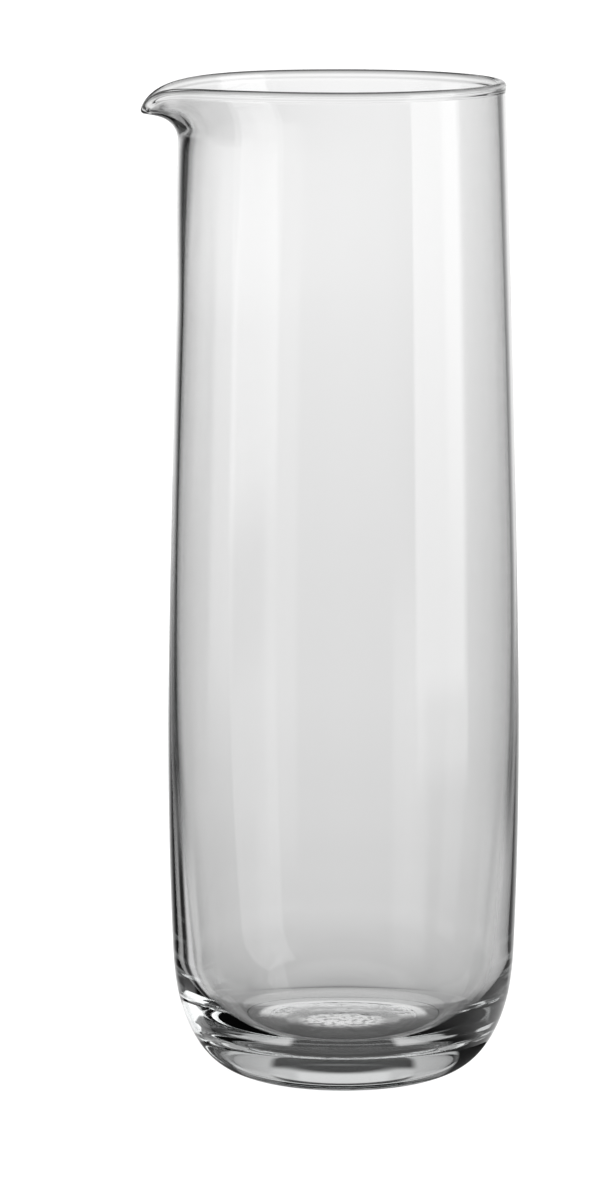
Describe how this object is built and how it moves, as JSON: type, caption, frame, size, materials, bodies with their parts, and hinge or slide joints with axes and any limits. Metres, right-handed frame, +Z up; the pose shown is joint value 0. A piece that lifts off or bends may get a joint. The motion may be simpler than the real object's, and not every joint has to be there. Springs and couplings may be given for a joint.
{
  "type": "water carafe",
  "caption": "Tall clear glass water carafe with a heavy solid base, a slightly tapering round body and a pouring lip pulled out of the rim.",
  "frame": {"origin": "centre of the foot, on the plane that the carafe stands on", "axes": "+Z up along the body; -X towards the pouring lip; +Y away from the viewer of the picture"},
  "size_m": [0.1022, 0.0956, 0.27],
  "materials": {
    "clear_glass": "clear, colourless, fire-polished"
  },
  "bodies": {
    "root": {"carafe_body": "clear_glass"}
  },
  "joints": []
}
